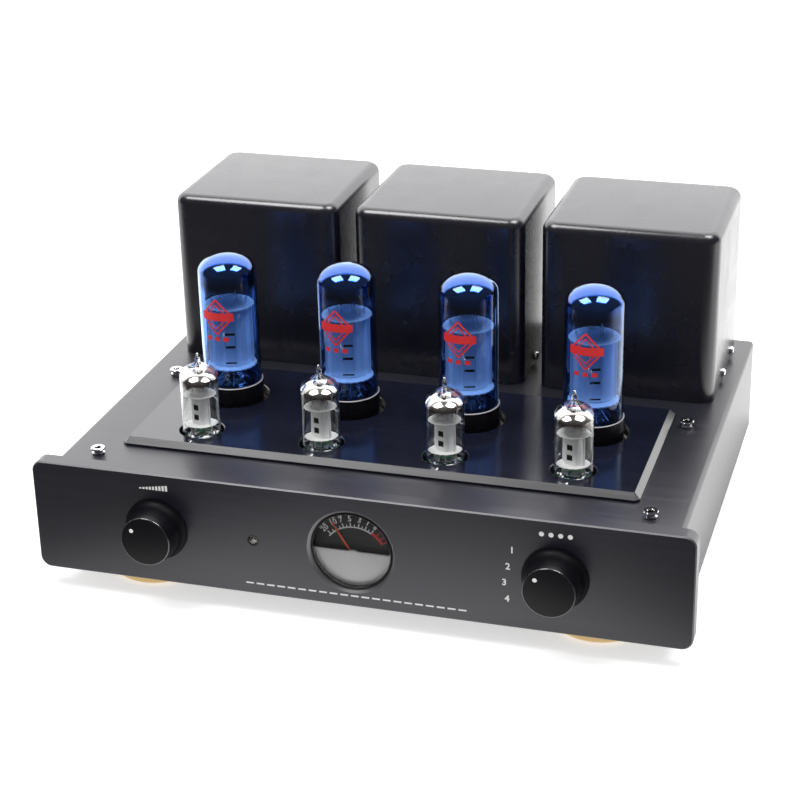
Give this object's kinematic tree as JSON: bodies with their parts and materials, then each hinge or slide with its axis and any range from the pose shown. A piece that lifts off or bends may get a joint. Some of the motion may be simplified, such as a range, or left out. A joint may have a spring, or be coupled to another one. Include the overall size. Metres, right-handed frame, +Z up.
{
  "type": "tube amplifier",
  "caption": "Stereo tube amplifier on a wide black chassis: thick front panel with knobs and a round meter, a raised deck of glass tubes and box-shaped transformer covers behind.",
  "frame": {"origin": "centre of the bounding box's underside, where the feet stand", "axes": "+X to the right of a person facing the front panel, +Y to the back, +Z up"},
  "size_m": [0.35, 0.2986, 0.1671],
  "materials": {
    "black_steel": "satin black paint",
    "black_aluminium": "brushed, black anodised",
    "gloss_black": "gloss black lacquer",
    "gold": "turned, gold plated",
    "chrome": "polished",
    "transformer_iron": "varnished laminations",
    "knob_black": "smooth, black anodised",
    "steel": "plated",
    "clear_lens": "clear, polished",
    "blue_glass": "clear blue",
    "clear_glass": "clear",
    "tube_works": "grey sheet metal on a black base",
    "dial_black": "matt black",
    "needle_red": "matt red",
    "ceramic": "glazed ceramic",
    "board_green": "solder mask",
    "black_plastic": "moulded"
  },
  "bodies": {
    "amplifier": {"chassis_shell": "black_steel", "bottom_cover": "black_steel", "front_panel": "black_aluminium", "tube_deck": "black_aluminium", "cover_left": "gloss_black", "cover_middle": "gloss_black", "cover_right": "gloss_black", "output_transformer_left": "transformer_iron", "power_transformer": "transformer_iron", "output_transformer_right": "transformer_iron", "foot_front_left": "gold", "foot_front_right": "gold", "foot_back_left": "gold", "foot_back_right": "gold", "volume_pot": "steel", "selector_switch": "steel", "status_lamp": "clear_lens", "meter_lens": "clear_lens", "meter_housing": "black_plastic", "power_inlet": "black_plastic", "input_jack_block": "black_plastic", "speaker_plate": "black_plastic", "meter_dial": "dial_black", "power_tube_1_glass": "blue_glass", "power_tube_2_glass": "blue_glass", "power_tube_3_glass": "blue_glass", "power_tube_4_glass": "blue_glass", "power_tube_1_works": "tube_works", "power_tube_2_works": "tube_works", "power_tube_3_works": "tube_works", "power_tube_4_works": "tube_works", "small_tube_1_works": "tube_works", "small_tube_2_works": "tube_works", "small_tube_3_works": "tube_works", "small_tube_4_works": "tube_works", "power_socket_1": "ceramic", "power_socket_2": "ceramic", "power_socket_3": "ceramic", "power_socket_4": "ceramic", "small_tube_1_glass": "clear_glass", "small_tube_2_glass": "clear_glass", "small_tube_3_glass": "clear_glass", "small_tube_4_glass": "clear_glass", "driver_board": "board_green", "guard_socket_front_left": "chrome", "guard_socket_front_right": "chrome", "guard_socket_back_left": "chrome", "guard_socket_back_right": "chrome"},
    "volume_control": {"volume_knob": "knob_black", "volume_shaft": "steel"},
    "source_selector": {"selector_knob": "knob_black", "selector_shaft": "steel"},
    "needle": {"meter_needle": "needle_red"},
    "rocker": {"power_rocker": "black_plastic"},
    "cap_1": {"post_cap_1": "black_plastic"},
    "cap_2": {"post_cap_2": "black_plastic"},
    "cap_3": {"post_cap_3": "black_plastic"},
    "cap_4": {"post_cap_4": "black_plastic"},
    "cap_5": {"post_cap_5": "black_plastic"},
    "cap_6": {"post_cap_6": "black_plastic"}
  },
  "joints": [
    {"name": "volume_turn", "type": "hinge", "parent": "amplifier", "child": "volume_control", "pos_m": [-0.106, -0.13375, 0.04225], "axis": [0, 1, 0], "range_deg": [-99, 201]},
    {"name": "selector_turn", "type": "hinge", "parent": "amplifier", "child": "source_selector", "pos_m": [0.106, -0.13375, 0.04225], "axis": [0, 1, 0], "range_deg": [-90, 0]},
    {"name": "meter_swing", "type": "hinge", "parent": "amplifier", "child": "needle", "pos_m": [0, -0.12775, 0.03625], "axis": [0, 1, 0], "range_deg": [-14, 80]},
    {"name": "power_rock", "type": "hinge", "parent": "amplifier", "child": "rocker", "pos_m": [0.1355, 0.13015, 0.04235], "axis": [1, 0, 0], "range_deg": [-16, 0]},
    {"name": "cap_1_unscrew", "type": "hinge", "parent": "amplifier", "child": "cap_1", "pos_m": [-0.0385, 0.13475, 0.04235], "axis": [0, 1, 0], "range_deg": [0, 720]},
    {"name": "cap_2_unscrew", "type": "hinge", "parent": "amplifier", "child": "cap_2", "pos_m": [-0.0195, 0.13475, 0.04235], "axis": [0, 1, 0], "range_deg": [0, 720]},
    {"name": "cap_3_unscrew", "type": "hinge", "parent": "amplifier", "child": "cap_3", "pos_m": [-0.0005, 0.13475, 0.04235], "axis": [0, 1, 0], "range_deg": [0, 720]},
    {"name": "cap_4_unscrew", "type": "hinge", "parent": "amplifier", "child": "cap_4", "pos_m": [0.0185, 0.13475, 0.04235], "axis": [0, 1, 0], "range_deg": [0, 720]},
    {"name": "cap_5_unscrew", "type": "hinge", "parent": "amplifier", "child": "cap_5", "pos_m": [0.0375, 0.13475, 0.04235], "axis": [0, 1, 0], "range_deg": [0, 720]},
    {"name": "cap_6_unscrew", "type": "hinge", "parent": "amplifier", "child": "cap_6", "pos_m": [0.0565, 0.13475, 0.04235], "axis": [0, 1, 0], "range_deg": [0, 720]}
  ]
}
